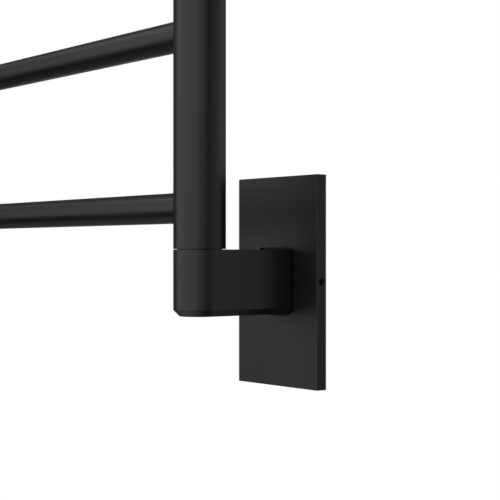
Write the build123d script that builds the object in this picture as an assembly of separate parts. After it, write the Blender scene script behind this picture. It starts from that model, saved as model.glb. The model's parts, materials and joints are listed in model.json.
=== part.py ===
from build123d import *
import math
import os

# Swing-out towel rack: a ladder of round bars whose right upright turns between two wall brackets.
# Origin: centre of the lower bracket on the wall. +X to the right, +Y into the wall, +Z up. Millimetres.

# Ladder
upright_diameter = 30
upright_wall = 2
bar_diameter = 18
bar_wall = 1.5
bar_count = 10
bar_pitch = 100
first_bar_above_upright_end = 23.75
upright_spacing = 500
tube_end_edge = 0.2
cap_thickness = 2
cap_spigot_depth = 12
cap_edge = 0.6

# Arm: in plan a straight block with one round end, in line with the pivot upright
arm_width = upright_diameter
arm_height = 38
arm_chamfer = 3.5
axis_to_plate = 56

# Cover plate and the wall bracket inside it
plate_width = 75
plate_height = 125
plate_thickness = 7
plate_edge = 0.4
recess_depth = 5.1
rim_width = 4.2
opening_clearance = 1
bracket_thickness = 5
bracket_clearance = 0.3
bracket_corner = 3
wall_screw_spacing_x = 48
wall_screw_spacing_z = 88
wall_screw_hole = 5.5
wall_screw_head = 10.5

# M6 countersunk screws that hold an arm on its wall bracket
arm_screw_spacing = 20
arm_screw_diameter = 6
arm_screw_head = 12
arm_screw_length = 20
arm_screw_hole = 6.1
arm_screw_sunk = 0.3
arm_screw_socket = 4
arm_screw_socket_depth = 2

# M4 grub screws in the side edges of a cover plate
grub_diameter = 4
grub_hole = 4.2
grub_recess = 0.5
grub_cone = 1.2
grub_tip_radius = 0.4
grub_tip_reach = 0.5
dimple_clearance = 0.1
grub_socket = 2
grub_socket_depth = 1.8
grub_behind_front = 3.5

# Pivot: pin through the arm, flanged bush on it, plug round the bush in the upright's end
pin_diameter = 12
pin_head_diameter = 19.6
pin_head_height = 3.4
pin_counterbore = 20
pin_counterbore_depth = 5.2
pin_reach = 35
pin_fit = 0.02
pin_tip_edge = 1
pin_cap_fit = 0.05
pin_cap_edge = 0.3
bush_wall = 2
bush_running_fit = 0.05
bush_flange_diameter = 25.6
bush_flange = 1
seam = 0.25
plug_length = 40
plug_fit = 0.05
end_play = 0.3

# Worked out from the above
plate_front = -plate_thickness
pivot_y = plate_front - axis_to_plate
arm_back = -bracket_thickness
arm_top = arm_height / 2
upright_bottom = arm_top + seam
upright_length = (bar_count - 1) * bar_pitch + 2 * first_bar_above_upright_end
upright_top = upright_bottom + upright_length
upper_centre = upright_top + seam + end_play + arm_height / 2
upright_radius = upright_diameter / 2
bore_radius = upright_radius - upright_wall
bush_outer_radius = pin_diameter / 2 + bush_running_fit + bush_wall


def rod(radius, bottom, top):
    """Upright solid cylinder on the pivot axis between two heights."""
    return Pos(0, pivot_y, bottom) * Cylinder(
        radius, top - bottom, align=(Align.CENTER, Align.CENTER, Align.MIN)
    )


def flipped(piece):
    """The same piece for the upper bracket: turned over about the lower bracket's level, then lifted."""
    return Pos(0, 0, upper_centre) * mirror(piece, about=Plane.XY)


def slab(width, height, back, front, corner=0):
    """Upright rectangular plate centred on the bracket, from one depth to another."""
    outline = RectangleRounded(width, height, corner) if corner else Rectangle(width, height)
    return Pos(0, back, 0) * extrude(Rot(90, 0, 0) * outline, back - front, dir=(0, -1, 0))


# Brackets on the wall


def wall_bracket():
    """Steel plate screwed to the wall, with seats for the arm's screws and dimples for the grub screws."""
    width = plate_width - 2 * (rim_width + bracket_clearance)
    height = plate_height - 2 * (rim_width + bracket_clearance)
    plate = slab(width, height, 0, -bracket_thickness, bracket_corner)
    for side in (-1, 1):
        hole = Rot(90, 0, 0) * Cylinder(arm_screw_hole / 2, 4 * bracket_thickness)
        plate -= Pos(0, 0, side * arm_screw_spacing / 2) * (hole + countersink())
    for side_x in (-1, 1):
        for side_z in (-1, 1):
            place = Pos(side_x * wall_screw_spacing_x / 2, 0, side_z * wall_screw_spacing_z / 2)
            # Straight hole, then a 90 degree countersink at the room side.
            hole = Cylinder(wall_screw_hole / 2, 3 * bracket_thickness)
            sink_depth = (wall_screw_head - wall_screw_hole) / 2
            sink = Pos(0, 0, bracket_thickness - sink_depth / 2) * Cone(
                wall_screw_hole / 2, wall_screw_head / 2, sink_depth
            )
            plate -= place * Rot(90, 0, 0) * (hole + sink)
        dimple_depth = grub_tip_reach + dimple_clearance
        cone_slope = (grub_diameter / 2 - grub_tip_radius) / grub_cone
        dimple_bottom = grub_tip_radius + dimple_clearance / 2
        dimple = Cone(dimple_bottom, dimple_bottom + cone_slope * dimple_depth, dimple_depth)
        dimple_x = side_x * (width / 2 - dimple_depth / 2)
        plate -= Pos(dimple_x, plate_front + grub_behind_front, 0) * Rot(0, 90 * side_x, 0) * dimple
    return plate


def cover_plate():
    """Tray with a rim that hides the wall bracket, and an opening that the arm passes through."""
    body = slab(plate_width, plate_height, 0, plate_front)
    front_edges = body.faces().sort_by(Axis.Y)[0].edges()
    body = chamfer(front_edges, plate_edge)
    recess = slab(plate_width - 2 * rim_width, plate_height - 2 * rim_width, 1, -recess_depth)
    body -= recess
    opening = slab(arm_width + 2 * opening_clearance, arm_height + 2 * opening_clearance, 1, plate_front - 1)
    low_edges = [e for e in opening.edges().filter_by(Axis.Y) if e.center().Z < 0]
    # Longer than the arm's own chamfer, so that the gap is the same width all round.
    opening = chamfer(low_edges, arm_chamfer + opening_clearance * (2 - math.sqrt(2)))
    body -= opening
    for side in (-1, 1):
        grub_x = side * (plate_width - rim_width) / 2
        grub = Rot(0, 90, 0) * Cylinder(grub_hole / 2, rim_width + 1)
        body -= Pos(grub_x, plate_front + grub_behind_front, 0) * grub
    return body


def countersink():
    """90 degree seat of one arm screw, with a short straight mouth at the wall side of the bracket."""
    radius = arm_screw_hole / 2
    depth = (arm_screw_head - arm_screw_diameter) / 2
    seat = Pos(0, -arm_screw_sunk - depth / 2, 0) * Rot(-90, 0, 0) * Cone(radius, radius + depth, depth)
    mouth = Pos(0, -arm_screw_sunk / 2, 0) * Rot(90, 0, 0) * Cylinder(radius + depth, arm_screw_sunk)
    return seat + mouth


def arm_outline():
    """Plan of the arm: half a circle round the pivot, then straight back to the wall bracket."""
    radius = arm_width / 2
    right = Line((radius, arm_back), (radius, pivot_y))
    nose = ThreePointArc((radius, pivot_y), (0, pivot_y - radius), (-radius, pivot_y))
    left = Line((-radius, pivot_y), (-radius, arm_back))
    rear = Line((-radius, arm_back), (radius, arm_back))
    return make_face([right, nose, left, rear])


def arm():
    """Block with a round nose, chamfered round its outer edge, bored for the pin and tapped at the rear."""
    body = Pos(0, 0, -arm_top) * extrude(arm_outline(), arm_height)
    lower_face = body.faces().sort_by(Axis.Z)[0]
    outer_edges = [e for e in lower_face.edges() if e.center().Y < arm_back - 0.01]
    body = chamfer(outer_edges, arm_chamfer)
    body -= rod(pin_diameter / 2 + pin_fit, -arm_top - 1, arm_top + 1)
    body -= rod(pin_counterbore / 2, -arm_top - 1, -arm_top + pin_counterbore_depth)
    depth = arm_screw_length + 2 - bracket_thickness
    for side in (-1, 1):
        tapped = Rot(90, 0, 0) * Cylinder(arm_screw_hole / 2, 2 * depth)
        body -= Pos(0, arm_back, side * arm_screw_spacing / 2) * tapped
    return body


def arm_screw():
    """Countersunk screw lying along Y, its head towards the wall."""
    head_depth = (arm_screw_head - arm_screw_diameter) / 2
    head_back = -arm_screw_sunk
    head = Pos(0, head_back - head_depth / 2, 0) * Rot(-90, 0, 0) * Cone(
        arm_screw_diameter / 2, arm_screw_head / 2, head_depth
    )
    shank = Pos(0, head_back - arm_screw_length / 2, 0) * Rot(90, 0, 0) * Cylinder(
        arm_screw_diameter / 2, arm_screw_length
    )
    socket = extrude(
        Pos(0, head_back, 0) * Rot(90, 0, 0) * RegularPolygon(arm_screw_socket / 2, 6, major_radius=False),
        arm_screw_socket_depth,
        dir=(0, -1, 0),
    )
    return head + shank - socket


def grub_screw(side):
    """Cone point set screw in one side edge: its tip sits in the wall bracket's dimple."""
    outer = plate_width / 2 - grub_recess
    tip = plate_width / 2 - rim_width - bracket_clearance - grub_tip_reach
    length = outer - tip
    body = Cylinder(grub_diameter / 2, length - grub_cone, align=(Align.CENTER, Align.CENTER, Align.MAX))
    point = Cone(grub_tip_radius, grub_diameter / 2, grub_cone, align=(Align.CENTER, Align.CENTER, Align.MIN))
    body += Pos(0, 0, -length) * point
    socket = extrude(RegularPolygon(grub_socket / 2, 6, major_radius=False), -grub_socket_depth)
    body -= socket
    return Pos(side * outer, plate_front + grub_behind_front, 0) * Rot(0, 90 * side, 0) * body


def pivot_pin():
    """Pin with a flat head in the arm's counterbore, reaching up into the upright."""
    head_seat = -arm_top + pin_counterbore_depth
    head = rod(pin_head_diameter / 2, head_seat - pin_head_height, head_seat)
    shank = rod(pin_diameter / 2, head_seat, arm_top + pin_reach)
    shank = chamfer(shank.edges().sort_by(Axis.Z)[-1], pin_tip_edge)
    return head + shank


def pin_cap():
    """Flat cap that closes the counterbore level with the arm's outer face."""
    cap_top = -arm_top + pin_counterbore_depth - pin_head_height
    cap = rod(pin_counterbore / 2 - pin_cap_fit, -arm_top, cap_top)
    return chamfer(cap.edges().sort_by(Axis.Z)[0], pin_cap_edge)


# Ladder


def bush():
    """Bearing sleeve on the pin; its flange, sunk in the upright's end, carries the ladder on the arm."""
    sleeve = rod(bush_outer_radius, upright_bottom, upright_bottom + pin_reach)
    flange = rod(bush_flange_diameter / 2, arm_top, arm_top + bush_flange)
    bore = rod(pin_diameter / 2 + bush_running_fit, arm_top - 1, arm_top + 2 * pin_reach)
    return sleeve + flange - bore


def pivot_plug():
    """Plug in the upright's end with a blind bore that holds the bush."""
    plug = rod(bore_radius - plug_fit, arm_top + bush_flange, upright_bottom + plug_length)
    bore = rod(bush_outer_radius + pin_fit, upright_bottom - 1, upright_bottom + pin_reach + 1)
    return plug - bore


def upright(x):
    """Tube with a small edge break at both ends."""
    tube = Cylinder(upright_radius, upright_length, align=(Align.CENTER, Align.CENTER, Align.MIN))
    bore = Cylinder(bore_radius, upright_length, align=(Align.CENTER, Align.CENTER, Align.MIN))
    tube = chamfer(tube.edges().filter_by(GeomType.CIRCLE), tube_end_edge)
    return Pos(x, pivot_y, upright_bottom) * (tube - bore)


def bar(number):
    """Tube between the uprights, coped to their round walls."""
    length = upright_spacing
    tube = Cylinder(bar_diameter / 2, length) - Cylinder(bar_diameter / 2 - bar_wall, length)
    z = upright_bottom + first_bar_above_upright_end + (number - 1) * bar_pitch
    tube = Pos(-upright_spacing / 2, pivot_y, z) * Rot(0, 90, 0) * tube
    for x in (0, -upright_spacing):
        tube -= Pos(x, pivot_y, z) * Cylinder(upright_radius, 2 * bar_diameter)
    return tube


def upright_cap():
    """Flat disc on the free upright's lower end with a spigot in its bore."""
    disc = Cylinder(upright_radius, cap_thickness, align=(Align.CENTER, Align.CENTER, Align.MAX))
    disc = chamfer(disc.edges().sort_by(Axis.Z)[0], cap_edge)
    spigot = Cylinder(bore_radius - plug_fit, cap_spigot_depth, align=(Align.CENTER, Align.CENTER, Align.MIN))
    return Pos(-upright_spacing, pivot_y, upright_bottom) * (disc + spigot)


def ladder_flipped(piece):
    """The same piece at the ladder's other end: turned over about the middle of the uprights."""
    middle = Plane.XY.offset(upright_bottom + upright_length / 2)
    return mirror(piece, about=middle)


os.makedirs("parts", exist_ok=True)

bracket_pieces = {
    "wall_bracket": wall_bracket(),
    "cover_plate": cover_plate(),
    "arm": arm(),
    "pivot_pin": pivot_pin(),
    "pin_cap": pin_cap(),
}
for name, piece in bracket_pieces.items():
    export_step(piece, f"parts/lower_{name}.step")
    export_step(flipped(piece), f"parts/upper_{name}.step")

# Screws that are all alike share a node.
screws = [Pos(0, 0, side * arm_screw_spacing / 2) * arm_screw() for side in (-1, 1)]
screws += [flipped(screw) for screw in screws]
export_step(Compound(children=screws), "parts/arm_screws.step")
grubs = [grub_screw(side) for side in (-1, 1)]
grubs += [flipped(grub) for grub in grubs]
export_step(Compound(children=grubs), "parts/grub_screws.step")

ladder_end_pieces = {"bush": bush(), "pivot_plug": pivot_plug(), "free_cap": upright_cap()}
for name, piece in ladder_end_pieces.items():
    export_step(piece, f"parts/lower_{name}.step")
    export_step(ladder_flipped(piece), f"parts/upper_{name}.step")

export_step(upright(0), "parts/pivot_upright.step")
export_step(upright(-upright_spacing), "parts/free_upright.step")
for number in range(1, bar_count + 1):
    export_step(bar(number), f"parts/bar_{number:02d}.step")

print("upper bracket centre", round(upper_centre, 3), "ladder top", round(upright_top, 3))
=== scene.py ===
import json
import math
import bmesh
import bpy
import numpy as np
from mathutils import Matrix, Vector


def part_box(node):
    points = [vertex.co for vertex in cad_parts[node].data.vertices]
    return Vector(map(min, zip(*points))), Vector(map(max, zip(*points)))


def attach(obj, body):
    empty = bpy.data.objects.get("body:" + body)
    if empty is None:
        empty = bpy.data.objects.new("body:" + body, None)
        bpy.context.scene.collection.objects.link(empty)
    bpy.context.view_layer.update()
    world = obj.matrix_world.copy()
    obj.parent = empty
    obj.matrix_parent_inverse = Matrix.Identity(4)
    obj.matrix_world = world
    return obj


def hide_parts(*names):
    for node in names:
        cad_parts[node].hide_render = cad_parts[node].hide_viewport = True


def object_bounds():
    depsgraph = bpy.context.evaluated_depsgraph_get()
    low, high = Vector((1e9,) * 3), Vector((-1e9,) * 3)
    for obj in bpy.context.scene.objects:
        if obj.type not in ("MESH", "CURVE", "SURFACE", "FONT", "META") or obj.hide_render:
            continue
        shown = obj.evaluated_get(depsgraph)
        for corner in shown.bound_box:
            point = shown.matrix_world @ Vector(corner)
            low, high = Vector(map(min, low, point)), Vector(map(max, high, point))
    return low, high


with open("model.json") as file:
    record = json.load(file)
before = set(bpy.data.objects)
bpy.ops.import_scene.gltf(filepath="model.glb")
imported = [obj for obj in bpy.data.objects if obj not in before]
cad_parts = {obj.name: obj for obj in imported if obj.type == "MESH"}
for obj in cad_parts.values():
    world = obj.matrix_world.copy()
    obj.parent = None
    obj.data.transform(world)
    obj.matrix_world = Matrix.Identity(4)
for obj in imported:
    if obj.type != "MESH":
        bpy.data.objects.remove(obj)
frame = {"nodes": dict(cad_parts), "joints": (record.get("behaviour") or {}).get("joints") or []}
cadLow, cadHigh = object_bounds()
mm = 0.001
print("frame loaded:", len(frame["nodes"]), "nodes")

# where the ladder turns, read from the frame
swing = frame["joints"][0]
pivotX, pivotY = swing["pos_m"][0], swing["pos_m"][1]


def span(node):  # lowest and highest corner of a CAD node
    low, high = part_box(node)
    return np.array(low), np.array(high)


def middle(node):  # centre of a CAD node's box
    low, high = span(node)
    return (low + high) / 2


def halfSizes(node):  # half its width, depth and height
    low, high = span(node)
    return (high - low) / 2


# Shapes: rings of points, joined ring to ring.


def softened(corners, closed=False, steps=5, guard=0.5 * mm):
    # Turns a line of (across, along, radius) corners into a line with round corners. An arc of the
    # corner's radius touches both its sides: its centre is radius / sin(half angle) along the bisector.
    # Also gives each point's edge value, 1 in the middle of an arc and 0 a guard's width away from it.
    corners = np.array(corners, float)
    points, edges = [], []
    for i, (across, along, radius) in enumerate(corners):
        here = np.array([across, along])
        isEnd = not closed and i in (0, len(corners) - 1)
        if radius <= 0 or isEnd:
            points.append(here[None])
            edges.append([0.0])
            continue
        toLast = corners[i - 1, :2] - here
        toNext = corners[(i + 1) % len(corners), :2] - here
        lastLength, nextLength = np.linalg.norm(toLast), np.linalg.norm(toNext)
        toLast, toNext = toLast / lastLength, toNext / nextLength
        half = math.acos(np.clip(toLast @ toNext, -1, 1)) / 2
        reach = radius / math.tan(half)
        bisector = (toLast + toNext) / np.linalg.norm(toLast + toNext)
        centre = here + bisector * radius / math.sin(half)
        first, last = here + toLast * reach - centre, here + toNext * reach - centre
        turn = math.pi - 2 * half
        share = np.linspace(0, 1, steps + 1)[:, None]
        arc = centre + (np.sin((1 - share) * turn) * first + np.sin(share * turn) * last) / math.sin(turn)
        wear = 0.4 + 0.6 * np.sin(math.pi * share[:, 0])
        if lastLength > 3 * (reach + guard):
            arc = np.vstack([here + toLast * (reach + guard), arc])
            wear = np.r_[0.0, wear]
        if nextLength > 3 * (reach + guard):
            arc = np.vstack([arc, here + toNext * (reach + guard)])
            wear = np.r_[wear, 0.0]
        points.append(arc)
        edges.append(wear)
    return np.vstack(points), np.concatenate(edges)


def loft(rings, closed=False):
    # rings is an array of rings of points. Quads join each ring to the next; an open loft gets a flat end at
    # each end, and a closed one joins its last ring to its first.
    ringCount, columnCount = rings.shape[:2]
    ring, column = np.meshgrid(
        np.arange(ringCount if closed else ringCount - 1), np.arange(columnCount), indexing="ij"
    )
    nextRing, nextColumn = (ring + 1) % ringCount, (column + 1) % columnCount
    quads = np.stack(
        [
            ring * columnCount + column,
            ring * columnCount + nextColumn,
            nextRing * columnCount + nextColumn,
            nextRing * columnCount + column,
        ],
        -1,
    )
    faces = quads.reshape(-1, 4).tolist()
    if not closed:
        around = np.arange(columnCount)
        faces += [around[::-1].tolist(), (around + (ringCount - 1) * columnCount).tolist()]
    return rings.reshape(-1, 3), faces


def spun(profile, columns):
    # Turns a line of (radius, height) about the z axis: x = radius cos a, y = radius sin a, z = height.
    angle = np.linspace(0, 2 * math.pi, columns, endpoint=False)
    radius, height = profile[:, 0, None], profile[:, 1, None]
    return np.stack([radius * np.cos(angle), radius * np.sin(angle), height + 0 * angle], -1)


def boxRing(halfWidth, halfHeight, radius, steps=4, perSide=6):
    # Closed outline of a rectangle with round corners, counter-clockwise. A corner's point is the corner of
    # the inner rectangle + radius (cos bearing, sin bearing); a few points along each side join them.
    signs = np.array([(1, 1), (-1, 1), (-1, -1), (1, -1)], float)
    inner = signs * [halfWidth - radius, halfHeight - radius]
    bearing = np.linspace(0, math.pi / 2, steps + 1) + np.arange(4)[:, None] * math.pi / 2
    corners = inner[:, None] + radius * np.stack([np.cos(bearing), np.sin(bearing)], -1)
    share = np.linspace(0, 1, perSide + 1)[1:-1, None]
    sides = corners[:, -1:] * (1 - share) + np.roll(corners, -1, 0)[:, :1] * share
    return np.concatenate([corners, sides], 1).reshape(-1, 2)


def standing(outline, depth):  # a flat outline stood up parallel to the wall, at a depth
    return np.stack([outline[:, 0], np.full(len(outline), depth), outline[:, 1]], -1)


def joined(lofts):  # several lofts as one, with their face numbers moved along
    points, faces, start = [], [], 0
    for somePoints, someFaces in lofts:
        points.append(somePoints)
        faces += [[start + corner for corner in face] for face in someFaces]
        start += len(somePoints)
    return np.vstack(points), faces


def meshFrom(name, points, faces, edges=None):
    # A mesh whose faces point outwards: a negative volume means that all of them have to be turned round.
    mesh = bpy.data.meshes.new(name)
    mesh.from_pydata(points.tolist(), [], faces)
    if edges is not None:
        attribute = mesh.attributes.new("edge", "FLOAT", "POINT")
        attribute.data.foreach_set("value", edges.astype(np.float32))
    shape = bmesh.new()
    shape.from_mesh(mesh)
    if shape.calc_volume(signed=True) < 0:
        bmesh.ops.reverse_faces(shape, faces=shape.faces)
    shape.to_mesh(mesh)
    shape.free()
    return mesh


sharpAngle = 32  # degrees between faces; a steeper edge stays sharp


def addPiece(name, mesh, material, body, node):
    # A finished piece, shaded smooth between its real edges, that takes a CAD node's place.
    piece = bpy.data.objects.new(name, mesh)
    bpy.context.scene.collection.objects.link(piece)
    mesh.materials.clear()
    mesh.materials.append(material)
    mesh.shade_smooth()
    mesh.set_sharp_from_angle(angle=math.radians(sharpAngle))
    tidyNormals = piece.modifiers.new("tidyNormals", "WEIGHTED_NORMAL")
    tidyNormals.keep_sharp = True
    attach(piece, body)
    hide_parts(node)


def cutOut(mesh, cutters):  # the mesh with other closed meshes cut out of it
    scene = bpy.context.scene
    block = bpy.data.objects.new("cutBlock", mesh)
    scene.collection.objects.link(block)
    tools = []
    for cutter in cutters:
        tool = bpy.data.objects.new("cutTool", cutter)
        scene.collection.objects.link(tool)
        tools.append(tool)
        cut = block.modifiers.new("cut", "BOOLEAN")
        cut.operation = "DIFFERENCE"
        cut.solver = "EXACT"
        cut.object = tool
    graph = bpy.context.evaluated_depsgraph_get()
    result = bpy.data.meshes.new_from_object(block.evaluated_get(graph), depsgraph=graph)
    for item in [block] + tools:
        bpy.data.objects.remove(item)
    return result


# Materials.


class Wire:  # one output socket; sums on it add Math nodes
    def __init__(self, maker, socket):
        self.maker = maker
        self.socket = socket

    def sum(self, operation, first, second):
        return self.maker.node("ShaderNodeMath", {"operation": operation}, {0: first, 1: second})

    def __add__(self, other):
        return self.sum("ADD", self, other)

    def __radd__(self, other):
        return self.sum("ADD", other, self)

    def __sub__(self, other):
        return self.sum("SUBTRACT", self, other)

    def __rsub__(self, other):
        return self.sum("SUBTRACT", other, self)

    def __mul__(self, other):
        return self.sum("MULTIPLY", self, other)

    def __rmul__(self, other):
        return self.sum("MULTIPLY", other, self)


class Maker:  # makes the nodes of one material or world
    def __init__(self, owner):
        owner.use_nodes = True
        self.tree = owner.node_tree
        self.tree.nodes.clear()

    def node(self, kind, settings=None, inputs=None, out=0):
        # A node of a kind: its settings first, then the values or wires of its sockets. Gives one output.
        made = self.tree.nodes.new(kind)
        for name, value in (settings or {}).items():
            setattr(made, name, value)
        for name, value in (inputs or {}).items():
            if isinstance(value, Wire):
                self.tree.links.new(value.socket, made.inputs[name])
            else:
                made.inputs[name].default_value = value
        return Wire(self, made.outputs[out]) if len(made.outputs) else None

    def place(self):  # where on the object
        return self.node("ShaderNodeTexCoord", out="Object")

    def noise(self, place, size, detail=2.0, roughness=0.5):  # clouds about a size across
        values = {"Vector": place, "Scale": 1 / size, "Detail": detail, "Roughness": roughness}
        return self.node("ShaderNodeTexNoise", None, values)

    def ramp(self, value, low, high):  # 0 below low, 1 above high, smooth between
        values = {"Value": value, "From Min": low, "From Max": high}
        return self.node("ShaderNodeMapRange", {"interpolation_type": "SMOOTHSTEP"}, values)

    def mixColour(self, factor, first, second):  # first at 0, second at 1
        colours = [colour if isinstance(colour, Wire) else (*colour, 1) for colour in (first, second)]
        values = {0: factor, 6: colours[0], 7: colours[1]}
        return self.node("ShaderNodeMix", {"data_type": "RGBA"}, values, out=2)

    def relief(self, height):  # bump from a height in metres
        return self.node("ShaderNodeBump", None, {"Height": height, "Distance": 1.0, "Strength": 1.0})

    def surface(self, values):  # the one shader, joined to the output
        shader = self.node("ShaderNodeBsdfPrincipled", None, values)
        self.node("ShaderNodeOutputMaterial", None, {"Surface": shader})


powderCoat = {
    "colour": (0.0035, 0.0035, 0.0036),
    "dusty": (0.0055, 0.0055, 0.0057),
    "edgeColour": (0.009, 0.009, 0.0094),
    "roughness": 0.32,
    "specular": 0.5,
    "sheenChange": 0.05,
    "patchSize": 60 * mm,
    "patchRange": (0.35, 0.7),
    "edgePatchSize": 6 * mm,
    "edgePatchRange": (0.3, 0.75),
    "peelSize": 1.4 * mm,
    "peelDepth": 0.008 * mm,
    "grainSize": 0.28 * mm,
    "grainDepth": 0.0035 * mm,
}


def powderCoatMaterial(name, rougher=0.0, gloss=1.0, colourScale=1.0):
    # Satin coat: slow patches of dustiness, orange peel about a millimetre across, and a finer grain on top.
    # Edges are a little barer and smoother, where the coat draws thin. The colour scale multiplies the two
    # colours; the castings' coat gets a scale above 1 as painted light, standing in for extra light on the
    # arm's flat side.
    material = bpy.data.materials.new(name)
    make = Maker(material)
    place = make.place()
    patches = make.ramp(make.noise(place, powderCoat["patchSize"], 4), *powderCoat["patchRange"])
    peel = make.noise(place, powderCoat["peelSize"], 1.5)
    grain = make.noise(place, powderCoat["grainSize"], 2.0, 0.6)
    edge = make.node("ShaderNodeAttribute", {"attribute_name": "edge"}, out="Fac")
    edgePatches = make.ramp(make.noise(place, powderCoat["edgePatchSize"], 3), *powderCoat["edgePatchRange"])
    plain, dusty = np.array([powderCoat["colour"], powderCoat["dusty"]]) * colourScale
    dusted = make.mixColour(patches, plain, dusty)
    roughness = powderCoat["roughness"] + rougher + powderCoat["sheenChange"] * (patches + grain - edge)
    make.surface(
        {
            "Base Color": make.mixColour(edge * edgePatches, dusted, powderCoat["edgeColour"]),
            "Roughness": roughness,
            "Specular IOR Level": powderCoat["specular"] * gloss,
            "Normal": make.relief(peel * powderCoat["peelDepth"] + grain * powderCoat["grainDepth"]),
        },
    )
    return material


# bare and plated metals: two tones, least roughness, size of the marks and how they are drawn out
metals = {
    "blackZinc": ((0.030, 0.031, 0.034), (0.018, 0.018, 0.02), 0.34, 2.5 * mm, (1, 1, 1)),
    "stainless": ((0.55, 0.54, 0.53), (0.47, 0.46, 0.45), 0.22, 0.5 * mm, (1, 1, 0.08)),
    "turnedAluminium": ((0.72, 0.72, 0.73), (0.6, 0.6, 0.62), 0.3, 0.6 * mm, (1, 1, 1)),
    "blackOxide": ((0.035, 0.036, 0.04), (0.02, 0.02, 0.022), 0.38, 0.3 * mm, (1, 1, 1)),
}
metalMarks = {
    "depth": 0.002 * mm,
    "markRoughness": 0.12,
    "stainSize": 12 * mm,
    "stainRange": (0.3, 0.75),
    "stainRoughness": 0.06,
}


def metalMaterial(name):
    # Fine marks, drawn out by stretch, carry both the roughness and a faint relief; stains change the tone.
    colour, darker, roughness, size, stretch = metals[name]
    material = bpy.data.materials.new(name)
    make = Maker(material)
    place = make.place()
    drawn = make.node("ShaderNodeMapping", None, {"Vector": place, "Scale": stretch})
    marks = make.noise(drawn, size, 3, 0.6)
    stains = make.ramp(make.noise(place, metalMarks["stainSize"], 4), *metalMarks["stainRange"])
    dulled = metalMarks["markRoughness"] * marks + metalMarks["stainRoughness"] * stains
    make.surface(
        {
            "Base Color": make.mixColour(stains, colour, darker),
            "Metallic": 1.0,
            "Roughness": roughness + dulled,
            "Normal": make.relief(marks * metalMarks["depth"]),
        },
    )
    return material


acetal = {
    "colour": (0.004, 0.004, 0.004),
    "paler": (0.008, 0.008, 0.008),
    "roughness": 0.5,
    "grainRoughness": 0.1,
    "grainSize": 0.4 * mm,
    "grainRange": (0.3, 0.7),
    "grainDepth": 0.004 * mm,
}


def acetalMaterial(name):  # moulded plastic: a slightly greasy sheen with a fine moulding grain
    material = bpy.data.materials.new(name)
    make = Maker(material)
    grain = make.noise(make.place(), acetal["grainSize"], 2)
    specks = make.ramp(grain, *acetal["grainRange"])
    make.surface(
        {
            "Base Color": make.mixColour(specks, acetal["colour"], acetal["paler"]),
            "Roughness": acetal["roughness"] + acetal["grainRoughness"] * grain,
            "Normal": make.relief(grain * acetal["grainDepth"]),
        },
    )
    return material


tubeCoat = powderCoatMaterial("tubeCoat")
# castingCoat's colours are 1.3 times the tube's: painted light, standing in for the extra light from the
# right that brightens the arm's flat side.
castingCoat = powderCoatMaterial("castingCoat", rougher=0.01, colourScale=1.3)
plateCoat = powderCoatMaterial("plateCoat", rougher=0.1, gloss=1.02, colourScale=0.3)
blackZinc, stainless, turnedAluminium, blackOxide = [metalMaterial(name) for name in metals]
blackAcetal = acetalMaterial("blackAcetal")
print("materials made")

# Ladder: uprights, bars, end caps.

tube = {"wall": 2.0 * mm, "endRound": 0.15 * mm, "boreRound": 0.2 * mm, "columns": 144}


def turned(node, line, centre, closed=False):
    # The mesh of a line of (radius, height, rounding) spun about a vertical axis through a centre.
    profile, edges = softened(line, closed)
    points, faces = loft(spun(profile, tube["columns"]) + centre, closed)
    return meshFrom(node, points, faces, np.repeat(edges, tube["columns"]))


def uprightTube(node):
    # Closed line round the wall's section, spun about the tube's axis.
    low, high = span(node)
    radius = halfSizes(node)[0]
    bore = radius - tube["wall"]
    line = [
        (bore, low[2], tube["boreRound"]),
        (radius, low[2], tube["endRound"]),
        (radius, high[2], tube["endRound"]),
        (bore, high[2], tube["boreRound"]),
    ]
    mesh = turned(node, line, [middle(node)[0], middle(node)[1], 0], closed=True)
    addPiece(node + "_tube", mesh, tubeCoat, "ladder", node)


uprights = ["free_upright", "pivot_upright"]
for node in uprights:
    uprightTube(node)

barShape = {
    "weld": 1.3 * mm,
    "weldSteps": 6,
    "sunk": 0.15 * mm,  # how far the weld reaches into the upright's wall
    "plug": 0.3,  # the closed end's share of the radius, hidden in the upright
    "weldWear": 0.9,
    "toeWear": 0.4,
    "plainFrom": 1.5 * mm,
    "longFrom": 30 * mm,
    "columns": 96,
}


def copedBar(node):
    # Tube between the uprights. Near each end it flares in a quarter circle, the weld: its radius is
    # radius + weld (1 - cos a), at weld (1 - sin a) from the upright's wall. At a side step y that wall is
    # sqrt(R^2 - y^2) from the upright's axis.
    weld, sunk, columns = barShape["weld"], barShape["sunk"], barShape["columns"]
    radius = halfSizes(node)[2]
    wallRadius = halfSizes(uprights[0])[0] - sunk
    a = np.linspace(math.pi / 2, 0, barShape["weldSteps"] + 1)
    flare = np.r_[radius * barShape["plug"], radius + weld * (1 - np.cos(a)), radius, radius]
    weldStand = weld * (1 - np.sin(a)) + sunk * np.cos(a)
    stand = np.r_[0, weldStand, weld + barShape["plainFrom"], barShape["longFrom"]]
    bead = np.r_[0, barShape["weldWear"] * np.ones(len(a) - 1), barShape["toeWear"], 0, 0]
    angle = np.linspace(0, 2 * math.pi, columns, endpoint=False)
    side = flare[:, None] * np.cos(angle)
    up = flare[:, None] * np.sin(angle)
    away = np.sqrt(wallRadius**2 - side**2) + stand[:, None]
    y, z = side + middle(node)[1], up + middle(node)[2]
    leftEnd = np.stack([middle(uprights[0])[0] + away, y, z], -1)
    rightEnd = np.stack([middle(uprights[1])[0] - away, y, z], -1)
    points, faces = loft(np.vstack([leftEnd, rightEnd[::-1]]))
    mesh = meshFrom(node, points, faces, np.repeat(np.r_[bead, bead[::-1]], columns))
    addPiece(node + "_tube", mesh, tubeCoat, "ladder", node)


barNodes = sorted(name for name in frame["nodes"] if name.startswith("bar_"))
for node in barNodes:
    copedBar(node)

capShape = {
    "thickness": 2 * mm,
    "round": 0.9 * mm,
    "seatRound": 0.1 * mm,
    "spigot": 25.6 * mm,
    "spigotRound": 0.6 * mm,
    "flat": 0.2,  # the innermost ring's share of the radius
}


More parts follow.
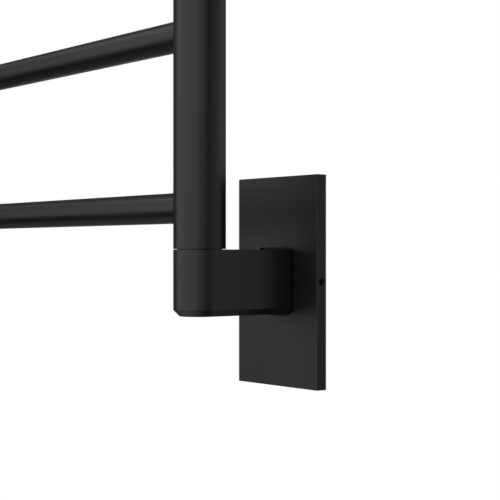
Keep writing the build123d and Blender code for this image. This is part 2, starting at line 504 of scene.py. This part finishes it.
def endCap(node, outward):
    # Disc on the upright's open end with a spigot inside it. outward is -1 at the bottom and 1 at the top.
    low, high = span(node)
    radius = halfSizes(node)[0]
    outerZ, innerZ = (high[2], low[2]) if outward > 0 else (low[2], high[2])
    shoulderZ = outerZ - outward * capShape["thickness"]
    line = [
        (capShape["flat"] * radius, outerZ, 0),
        (radius, outerZ, capShape["round"]),
        (radius, shoulderZ, capShape["seatRound"]),
        (capShape["spigot"] / 2, shoulderZ, 0),
        (capShape["spigot"] / 2, innerZ, capShape["spigotRound"]),
        (capShape["flat"] * radius, innerZ, 0),
    ]
    mesh = turned(node, line, [middle(node)[0], middle(node)[1], 0])
    addPiece(node + "_disc", mesh, tubeCoat, "ladder", node)


endCap("lower_free_cap", -1)
endCap("upper_free_cap", 1)
print("ladder made:", len(barNodes), "bars")

# Brackets: each piece is worked out for the lower bracket, and turned over for the upper one.

armShape = {
    "topRound": 0.3 * mm,
    "chamfer": 3.5 * mm,
    "chamferRound": 0.5 * mm,
    "pinHole": 6.02 * mm,
    "counterbore": 10 * mm,
    "counterboreDepth": 5.2 * mm,
    "counterboreRound": 0.1 * mm,
    "noseColumns": 72,
    "sideColumns": 10,
    "rearColumns": 6,
}


def armRings(halfWidth, backY, line):
    # Each (reach, height) of the line gives one ring in plan: a half circle of that reach round the pivot,
    # two straight sides back to the wall bracket, and the rear. Rings inside the counterbore are whole
    # circles instead, with a point at the same bearing from the pivot as the outer ring's.
    nose = np.linspace(math.pi, 2 * math.pi, armShape["noseColumns"] + 1)
    side = np.linspace(0, 1, armShape["sideColumns"] + 1)[1:]
    rear = np.linspace(1, -1, armShape["rearColumns"] + 1)[1:]
    depth = backY - pivotY
    unitX = np.r_[np.cos(nose), np.ones(len(side)), rear, -np.ones(len(side) - 1)]
    unitY = np.r_[np.sin(nose), np.zeros(len(side) + len(rear) + len(side) - 1)]
    along = np.r_[0 * nose, side * depth, np.full(len(rear), depth), (1 - side[:-1]) * depth]
    bearing = np.arctan2(unitY * halfWidth + along, unitX * halfWidth)
    reach, height = line[:, 0, None], line[:, 1, None]
    isCircle = reach < (armShape["counterbore"] + halfWidth - armShape["chamfer"]) / 2
    x = np.where(isCircle, reach * np.cos(bearing), reach * unitX)
    y = np.where(isCircle, reach * np.sin(bearing), reach * unitY + along)
    return np.stack([x + pivotX, y + pivotY, height + 0 * x], -1)


def turnedOver(points, which, centreZ):
    # Points measured from a bracket's middle, put at its level; the upper bracket's are mirrored in it.
    flipped = np.array(points, float)
    flipped[..., 2] = centreZ + (flipped[..., 2] if which == "lower" else -flipped[..., 2])
    return flipped


def arm(which):
    # Block with a round nose, the pin's hole and the counterbore for its head; chamfered on the outer side.
    node = which + "_arm"
    halfWidth, _, top = halfSizes(node)
    hole, counterbore = armShape["pinHole"], armShape["counterbore"]
    seat = -top + armShape["counterboreDepth"]
    line, edges = softened(
        [
            (hole, top, 0),
            (halfWidth, top, armShape["topRound"]),
            (halfWidth, -top + armShape["chamfer"], armShape["chamferRound"]),
            (halfWidth - armShape["chamfer"], -top, armShape["chamferRound"]),
            (counterbore, -top, armShape["counterboreRound"]),
            (counterbore, seat, 0),
            (hole, seat, 0),
        ],
        closed=True,
    )
    rings = turnedOver(armRings(halfWidth, span(node)[1][1], line), which, middle(node)[2])
    points, faces = loft(rings, closed=True)
    mesh = meshFrom(node, points, faces, np.repeat(edges, rings.shape[1]))
    addPiece(node + "_block", mesh, castingCoat, "brackets", node)


drillColumns = 48


def drill(profile, place, axis):
    # Spun solid of (radius, height) points laid along an axis: its own z becomes x or y. Used to cut holes.
    order = {"x": [2, 1, 0], "y": [0, 2, 1]}[axis]
    points, faces = loft(spun(np.array(profile, float), drillColumns)[..., order] + place)
    return meshFrom("drill", points, faces, np.zeros(len(points)))


plateShape = {
    "edge": 0.45 * mm,
    "corner": 0.45 * mm,
    "leastCorner": 0.05 * mm,
    "frontBand": 3 * mm,
    "rearRound": 0.2 * mm,
    "rim": 4.2 * mm,
    "rimRound": 0.15 * mm,
    "recess": 5.1 * mm,
    "gap": 1 * mm,
    "mouth": 0.25 * mm,  # rounding of the opening's front edge
    "mouthTurn": 0.3,  # where its middle point lies, as a share of it
    "grubHole": 4.2 * mm,
    "grubMouth": 0.3 * mm,
    "grubOverrun": 0.5 * mm,
}


def openingBearings(halfWidth, halfHeight, count):
    # Bearings that start at the right upper corner like a box ring's. The points are shared out between the
    # opening's six corners by the angle between them, so that each corner gets a point of its own.
    w, h = halfWidth + plateShape["gap"], halfHeight + plateShape["gap"]
    cut = armShape["chamfer"] + plateShape["gap"] * (2 - math.sqrt(2))
    corners = np.array([(w, h), (-w, h), (-w, -h + cut), (-w + cut, -h), (w - cut, -h), (w, -h + cut)])
    angles = np.arctan2(corners[:, 1], corners[:, 0])
    angles = np.unwrap(np.r_[angles, angles[0] + 2 * math.pi])
    steps = np.diff(angles)
    shares = np.round(count * np.cumsum(steps) / steps.sum()).astype(int)
    return np.interp(np.arange(count), np.r_[0, shares], angles)


def openingRing(halfWidth, halfHeight, grow, bearings):
    # The arm's section grown by a gap: a rectangle with its lower corners cut off at 45 degrees. Each
    # bearing's reach is the nearest of the sides: distance / cos(bearing - the side's own).
    sideBearings = np.array([0, math.pi / 2, math.pi, 1.5 * math.pi, 1.25 * math.pi, 1.75 * math.pi])
    w, h = halfWidth + grow, halfHeight + grow
    cut = (halfWidth + halfHeight - armShape["chamfer"]) / math.sqrt(2) + grow
    distances = np.array([w, h, w, h, cut, cut])
    facing = np.cos(bearings[:, None] - sideBearings)
    least = 0.01  # a side turned further away than this is never met
    reach = np.where(facing > least, distances / np.maximum(facing, least), np.inf).min(1)
    return np.stack([reach * np.cos(bearings), reach * np.sin(bearings)], -1)


def coverPlate(which):
    # Tray open to the wall: rings go from the opening's mouth over the front face, the edge and the side to
    # the rim, down the recess and back along the web to the opening. Then the grub screws' holes are cut.
    node = which + "_cover_plate"
    low, high = span(node)
    centre, (w, _, h) = middle(node), halfSizes(node)
    armWidth, _, armHeight = halfSizes(which + "_arm")
    frontY, webY = low[1], high[1] - plateShape["recess"]
    edgeLine, wear = softened(
        [
            (plateShape["frontBand"], frontY, 0),
            (0, frontY, plateShape["edge"]),
            (0, high[1], plateShape["rearRound"]),
            (plateShape["rim"], high[1], plateShape["rimRound"]),
            (plateShape["rim"], webY, 0),
        ]
    )
    rings = []
    for inset, y in edgeLine:
        corner = max(plateShape["corner"] - inset, plateShape["leastCorner"])
        rings.append(standing(boxRing(w - inset, h - inset, corner), y))
    bearings = openingBearings(armWidth, armHeight, len(rings[0]))
    mouth = plateShape["mouth"]
    turn = mouth * plateShape["mouthTurn"]
    for grow, y in ((0, webY), (0, frontY + mouth), (turn, frontY + turn), (mouth, frontY)):
        opening = openingRing(armWidth, armHeight, plateShape["gap"] + grow, bearings)
        rings.append(standing(opening, y))
    wear = np.r_[wear, 0, 0.5, 1, 0.5]
    rings = turnedOver(np.array(rings), which, centre[2]) + [centre[0], 0, 0]
    points, faces = loft(rings, closed=True)
    mesh = meshFrom(node, points, faces, np.repeat(wear, rings.shape[1]))
    hole, widening = plateShape["grubHole"] / 2, plateShape["grubMouth"]
    cutters = []
    for side in (-1, 1):
        grubLine = [
            (hole, -side * (plateShape["rim"] + plateShape["grubOverrun"])),
            (hole, -side * widening),
            (hole + widening, 0),
            (hole + widening + mm, side * mm),
        ]
        cutters.append(drill(grubLine, [centre[0] + side * w, middle("grub_screws")[1], centre[2]], "x"))
    addPiece(node + "_tray", cutOut(mesh, cutters), plateCoat, "brackets", node)


# holes are (radius, depth) points: the wall screws' from the room side, the arm screws' from the wall side
bracketShape = {
    "corner": 3 * mm,
    "edge": 0.25 * mm,
    "holeX": 24 * mm,
    "holeZ": 44 * mm,
    "armScrewZ": 10 * mm,
    "wallScrewHole": [(6.25 * mm, -1 * mm), (2.75 * mm, 2.5 * mm), (2.75 * mm, 7 * mm)],
    "armScrewHole": [(3.05 * mm, -7 * mm), (3.05 * mm, -3.3 * mm), (6.05 * mm, -0.3 * mm), (6.05 * mm, mm)],
}


def wallBracket(which):
    # Solid plate of round-cornered rectangle rings, with the wall screws' holes sunk from the room side and
    # the arm screws' holes sunk from the wall side.
    node = which + "_wall_bracket"
    low, high = span(node)
    centre, (w, _, h) = middle(node), halfSizes(node)
    edge = bracketShape["edge"]
    rings = []
    for inset, y in ((edge, low[1]), (0, low[1] + edge), (0, high[1] - edge), (edge, high[1])):
        rings.append(standing(boxRing(w - inset, h - inset, bracketShape["corner"]), y))
    points, faces = loft(np.array(rings) + [centre[0], 0, centre[2]])
    cutters = []
    for side in (-1, 1):
        for sideZ in (-1, 1):
            place = [side * bracketShape["holeX"], low[1], centre[2] + sideZ * bracketShape["holeZ"]]
            cutters.append(drill(bracketShape["wallScrewHole"], place, "y"))
        place = [0, high[1], centre[2] + side * bracketShape["armScrewZ"]]
        cutters.append(drill(bracketShape["armScrewHole"], place, "y"))
    mesh = cutOut(meshFrom(node, points, faces), cutters)
    addPiece(node + "_steel", mesh, blackZinc, "brackets", node)


# Screws, pins and bearings.

screwShape = {
    "columns": 36,
    "ringsPerTurn": 10,
    "threadDepth": 0.6,  # of the pitch
    "socketFloor": 0.3,  # innermost ring's share of the hexagon
    "socketMouth": 1.06,
    "mouthDepth": 0.12 * mm,
}


def screwRings(shape, length):
    # A screw along -z with its head's face at z = 0: hexagon socket, turned head, thread, turned tip. The
    # hexagon's reach is half its width / cos(bearing in its sixth). The thread's radius falls and rises once
    # a pitch and steps round with the bearing; it fades in and out over one pitch.
    angle = np.linspace(0, 2 * math.pi, screwShape["columns"], endpoint=False)
    hexagon = shape["socket"] / np.cos((angle + math.pi / 6) % (math.pi / 3) - math.pi / 6)
    socket = np.outer([screwShape["socketFloor"], 1, 1, screwShape["socketMouth"]], hexagon)
    socketLevels = [-shape["socketDepth"], -shape["socketDepth"], -screwShape["mouthDepth"], 0]
    start, end, pitch = shape["threadStart"], shape["threadEnd"] - length, shape["pitch"]
    level = np.linspace(start, end, int(screwShape["ringsPerTurn"] * abs(end - start) / pitch))[:, None]
    fade = np.clip(np.minimum(abs(level - start), abs(level - end)) / pitch, 0, 1)
    phase = (level / pitch + angle / (2 * math.pi)) % 1
    thread = shape["radius"] - fade * screwShape["threadDepth"] * pitch * np.abs(2 * phase - 1)
    head = np.array(shape["head"])
    tip = np.array(shape["tip"]) - [0, length]
    reach = np.vstack([socket, head[:, :1] + 0 * angle, thread, tip[:, :1] + 0 * angle])
    height = np.r_[socketLevels, head[:, 1], level[:, 0], tip[:, 1]][:, None]
    return np.stack([reach * np.cos(angle), reach * np.sin(angle), height + 0 * reach], -1)


# heads are (radius, height from the face) points and tips (radius, height from the end) points
armScrewShape = {
    "socket": 2 * mm,
    "socketDepth": 2 * mm,
    "head": [(5.85 * mm, 0), (6.0 * mm, -0.1 * mm), (3.0 * mm, -3.05 * mm)],
    "radius": 3.0 * mm,
    "pitch": 1.0 * mm,
    "threadStart": -3.1 * mm,
    "threadEnd": 0.8 * mm,
    "tip": [(2.4 * mm, 0.6 * mm), (2.0 * mm, 0)],
}


def armScrews():
    # Head towards the wall: the screw's -z becomes -y.
    low, high = span("arm_screws")
    rings = screwRings(armScrewShape, high[1] - low[1])[..., [0, 2, 1]]
    lofts = []
    for which in ("lower", "upper"):
        for side in (-1, 1):
            z = middle(which + "_cover_plate")[2] + side * bracketShape["armScrewZ"]
            lofts.append(loft(rings + [0, high[1], z]))
    mesh = meshFrom("arm_screws", *joined(lofts))
    addPiece("arm_screw_set", mesh, stainless, "brackets", "arm_screws")


grubShape = {
    "socket": 1 * mm,
    "socketDepth": 1.8 * mm,
    "head": [(1.75 * mm, 0), (1.98 * mm, -0.22 * mm)],
    "radius": 1.98 * mm,
    "pitch": 0.7 * mm,
    "threadStart": -0.25 * mm,
    "threadEnd": 1.25 * mm,
    "tip": [(1.9 * mm, 1.2 * mm), (0.4 * mm, 0)],
    "bite": 0.5 * mm,  # how far the tip goes into the wall bracket's edge
}


def grubScrews():
    # Socket outwards: the screw's -z points in to the wall bracket's edge.
    outerX = span("grub_screws")[1][0]
    bracketEdge = span("lower_wall_bracket")[1][0]
    rings = screwRings(grubShape, outerX - (bracketEdge - grubShape["bite"]))[..., [2, 1, 0]]
    lofts = []
    for which in ("lower", "upper"):
        for side in (-1, 1):
            place = [side * outerX, middle("grub_screws")[1], middle(which + "_cover_plate")[2]]
            lofts.append(loft((rings * [side, 1, 1] + place)[:, ::side]))
    mesh = meshFrom("grub_screws", *joined(lofts))
    addPiece("grub_screw_set", mesh, blackOxide, "brackets", "grub_screws")


axisHole = 1 * mm  # radius of the innermost ring of a solid turned piece


def levels(which, node):
    # A node's two ends, measured from the middle of its bracket's arm, as the lower bracket has them.
    low, high = span(node)
    ends = np.array([low[2], high[2]]) - middle(which + "_arm")[2]
    return ends if which == "lower" else -ends[::-1]


def turnedOnPivot(which, node, line, closed=False):
    # A line of (radius, level, rounding) spun about the pivot, turned over at the upper bracket.
    profile, edges = softened(line, closed)
    rings = spun(profile, tube["columns"]) + [pivotX, pivotY, 0]
    points, faces = loft(turnedOver(rings, which, middle(which + "_arm")[2]), closed)
    return meshFrom(node, points, faces, np.repeat(edges, tube["columns"]))


pinShape = {
    "radius": 6 * mm,
    "headHeight": 3.4 * mm,
    "headRound": 0.3 * mm,
    "seatRound": 0.2 * mm,
    "tipRound": 1 * mm,
}


def pivotPin(which):  # headed pin, its head in the arm's counterbore
    node = which + "_pivot_pin"
    start, end = levels(which, node)
    headRadius, seat = halfSizes(node)[0], start + pinShape["headHeight"]
    line = [
        (axisHole, start, 0),
        (headRadius, start, pinShape["headRound"]),
        (headRadius, seat, pinShape["seatRound"]),
        (pinShape["radius"], seat, 0),
        (pinShape["radius"], end, pinShape["tipRound"]),
        (axisHole, end, 0),
    ]
    mesh = turnedOnPivot(which, node, line)
    addPiece(node + "_turned", mesh, stainless, "brackets", node)


pinCapShape = {"round": 0.3 * mm}


def pinCap(which):  # disc that closes the counterbore flush
    node = which + "_pin_cap"
    start, end = levels(which, node)
    radius = halfSizes(node)[0]
    line = [
        (axisHole, start, 0),
        (radius, start, pinCapShape["round"]),
        (radius, end, 0),
        (axisHole, end, 0),
    ]
    mesh = turnedOnPivot(which, node, line)
    addPiece(node + "_disc", mesh, castingCoat, "brackets", node)


bushShape = {
    "bore": 6.05 * mm,
    "radius": 8.05 * mm,
    "flange": 1 * mm,
    "round": 0.1 * mm,
    "boreRound": 0.2 * mm,
    "endRound": 0.3 * mm,
}


def bush(which):  # sleeve with a flange, which is the thrust washer on the arm
    node = which + "_bush"
    start, end = levels(which, node)
    flangeRadius, shoulder = halfSizes(node)[0], start + bushShape["flange"]
    line = [
        (bushShape["bore"], start, bushShape["round"]),
        (flangeRadius, start, bushShape["round"]),
        (flangeRadius, shoulder, bushShape["round"]),
        (bushShape["radius"], shoulder, 0),
        (bushShape["radius"], end, bushShape["endRound"]),
        (bushShape["bore"], end, bushShape["boreRound"]),
    ]
    mesh = turnedOnPivot(which, node, line, closed=True)
    addPiece(node + "_sleeve", mesh, blackAcetal, "ladder", node)


plugShape = {"bore": 8.07 * mm, "floor": 4 * mm, "round": 0.6 * mm, "mouthRound": 0.3 * mm}


def pivotPlug(which):  # cup in the upright's end that holds the bush
    node = which + "_pivot_plug"
    start, end = levels(which, node)
    radius, bore, floor = halfSizes(node)[0], plugShape["bore"], end - plugShape["floor"]
    line = [
        (axisHole, end, 0),
        (radius, end, plugShape["round"]),
        (radius, start, plugShape["mouthRound"]),
        (bore, start, plugShape["mouthRound"]),
        (bore, floor, 0),
        (axisHole, floor, 0),
    ]
    mesh = turnedOnPivot(which, node, line)
    addPiece(node + "_turned", mesh, turnedAluminium, "ladder", node)


for which in ("lower", "upper"):
    for makePiece in (arm, coverPlate, wallBracket, pivotPin, pinCap, bush, pivotPlug):
        makePiece(which)
armScrews()
grubScrews()
print("brackets made")

# Studio: pale floor, dim white surroundings, soft lights, camera.

floorPaper = {
    "drop": 0.85,
    "reach": 2.2,
    "fade": (0.45, 0.98),  # starts and ends, as shares of the reach
    "colour": 0.86,
    "glow": 0.5,
    "roughness": 0.9,
}


def makeFloor():
    # One round sheet of pale paper below the object, fading out towards its rim into the white behind it.
    # It has a little glow of its own and throws no light back up.
    reach = floorPaper["reach"]
    angle = np.linspace(0, 2 * math.pi, 96, endpoint=False)
    points = np.stack([reach * np.cos(angle), reach * np.sin(angle), 0 * angle], -1)
    mesh = bpy.data.meshes.new("floorPaper")
    mesh.from_pydata(points.tolist(), [], [list(range(len(angle)))])
    floor = bpy.data.objects.new("floorPaper", mesh)
    bpy.context.scene.collection.objects.link(floor)
    floor.location = (middle("bar_01")[0], pivotY, cadLow[2] - floorPaper["drop"])
    material = bpy.data.materials.new("floorPaper")
    make = Maker(material)
    pale = (*[floorPaper["colour"]] * 3, 1)
    paper = make.node(
        "ShaderNodeBsdfPrincipled",
        None,
        {
            "Base Color": pale,
            "Roughness": floorPaper["roughness"],
            "Emission Color": pale,
            "Emission Strength": floorPaper["glow"],
        },
    )
    distance = make.node("ShaderNodeVectorMath", {"operation": "LENGTH"}, {0: make.place()}, out="Value")
    fade = make.ramp(distance, floorPaper["fade"][0] * reach, floorPaper["fade"][1] * reach)
    clear = make.node("ShaderNodeBsdfTransparent")
    shader = make.node("ShaderNodeMixShader", None, {0: fade, 1: paper, 2: clear})
    make.node("ShaderNodeOutputMaterial", None, {"Surface": shader})
    mesh.materials.append(material)
    floor.visible_diffuse = False
    floor.visible_glossy = False
    floor.visible_shadow = False


surroundings = {"seen": 1.0, "above": 0.10, "below": 0.02, "horizon": (-0.3, 0.2)}


def makeWorld():
    # White behind everything. The light it gives is dim: one level from above and a lower one from below.
    world = bpy.data.worlds.new("studioWorld")
    bpy.context.scene.world = world
    make = Maker(world)
    direction = make.node("ShaderNodeTexCoord", out="Generated")
    upward = make.node("ShaderNodeSeparateXYZ", None, {0: direction}, out="Z")
    above = make.ramp(upward, *surroundings["horizon"])
    dim = above * (surroundings["above"] - surroundings["below"]) + surroundings["below"]
    isCamera = make.node("ShaderNodeLightPath", out="Is Camera Ray")
    strength = isCamera * surroundings["seen"] + (1 - isCamera) * dim
    light = make.node("ShaderNodeBackground", None, {"Color": (1, 1, 1, 1), "Strength": strength})
    make.node("ShaderNodeOutputWorld", None, {"Surface": light})


# each softbox: where it hangs, where it faces, its size in metres, and the brightness of its cloth
softboxes = {
    "key": ((-0.9, -2.46, 1.1), (-0.9, 0, 1.1), (6.5, 3.9), 1.0),
    "side": ((2.65, -1.55, 0.7), (0, 0, 0.3), (2.5, 2.2), 0.66),
    "right": ((1.55, 1.76, 0.05), (0, 0, 0), (3.4, 1.4), 0.42),
    "rear": ((0.1, 2.7, 0.6), (0, 0, 0.3), (1.5, 2.6), 0.18),
    "backTop": ((1.3, 2.0, 2.9), (0, 0, 0.5), (2.6, 1.5), 0.9),
    "backLeft": ((-2.6, 1.9, 0), (-0.25, 0, 0.4), (2.0, 1.8), 0.45),
    "top": ((-1.55, -1.6, 2.2), (-1.55, -1.6, 0), (4.1, 2.4), 0.95),
    "under": ((-0.3, -0.5, -0.7), (-0.3, -0.5, 0), (0.9, 0.9), 0.6),
    "underLeft": ((-1.5, 0.4, -0.7), (-1.5, 0.4, 0), (1.5, 1.5), 0.12),
    "underBack": ((0, 0.6, -0.75), (0, -0.06, -0.02), (0.8, 0.5), 0.2),
}


def makeLights():
    # A cloth of even brightness B gives pi * area * B watts.
    for name, (place, faces, size, brightness) in softboxes.items():
        light = bpy.data.lights.new(name + "Softbox", "AREA")
        light.shape = "RECTANGLE"
        light.size, light.size_y = size
        light.energy = math.pi * size[0] * size[1] * brightness
        holder = bpy.data.objects.new(name + "Softbox", light)
        bpy.context.scene.collection.objects.link(holder)
        holder.location = place
        direction = Vector(faces) - Vector(place)
        holder.rotation_mode = "QUATERNION"
        holder.rotation_quaternion = direction.to_track_quat("-Z", "Z" if direction.z == 0 else "Y")
        holder.visible_camera = False


# eye is measured from the pivot, and heading in degrees from +Y towards -X
view = {"lens": 91.87, "eye": (0.5972, -0.4206, 0.0181), "heading": 49.9, "shift": (-0.12, 0.0021)}


def makeCamera():  # level camera
    camera = bpy.data.cameras.new("studioCamera")
    holder = bpy.data.objects.new("studioCamera", camera)
    bpy.context.scene.collection.objects.link(holder)
    camera.sensor_width = 36
    camera.lens = view["lens"]
    camera.shift_x, camera.shift_y = view["shift"]
    camera.clip_start = 0.02
    camera.clip_end = 60
    eyeX, eyeY, eyeZ = view["eye"]
    holder.location = (pivotX + eyeX, pivotY + eyeY, eyeZ)
    holder.rotation_euler = (math.pi / 2, 0, math.radians(view["heading"]))
    bpy.context.scene.camera = holder


makeFloor()
makeWorld()
makeLights()
makeCamera()
bpy.context.scene.view_settings.view_transform = "Standard"
print("studio made")
